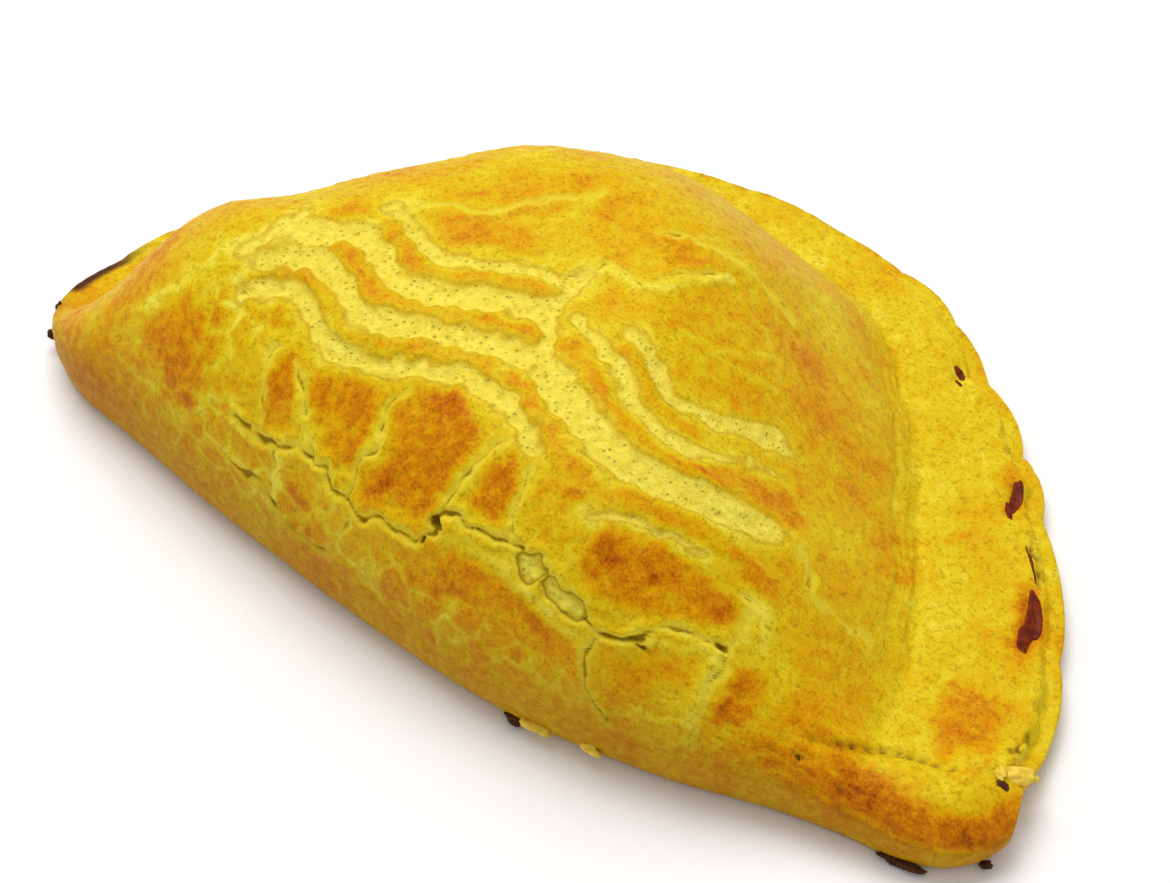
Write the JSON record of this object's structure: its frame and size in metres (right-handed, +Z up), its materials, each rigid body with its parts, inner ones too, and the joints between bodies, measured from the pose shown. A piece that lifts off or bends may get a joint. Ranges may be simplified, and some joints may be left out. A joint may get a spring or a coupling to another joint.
{
  "type": "folded meat pie",
  "caption": "Half-moon meat pie: a disc of glazed shortcrust folded over its filling and pressed shut along the round edge, with combed scores and a baked, cracked crust.",
  "frame": {"origin": "on the resting plane, below the middle of the pie's bounding box", "axes": "+X along the fold towards the wide, rolled corner, +Y from the fold to the round pressed edge, +Z up out of the top crust"},
  "size_m": [0.1504, 0.0946, 0.0345],
  "materials": {
    "golden_crust": null
  },
  "bodies": {
    "root": {"pie_crust": "golden_crust"}
  },
  "joints": []
}
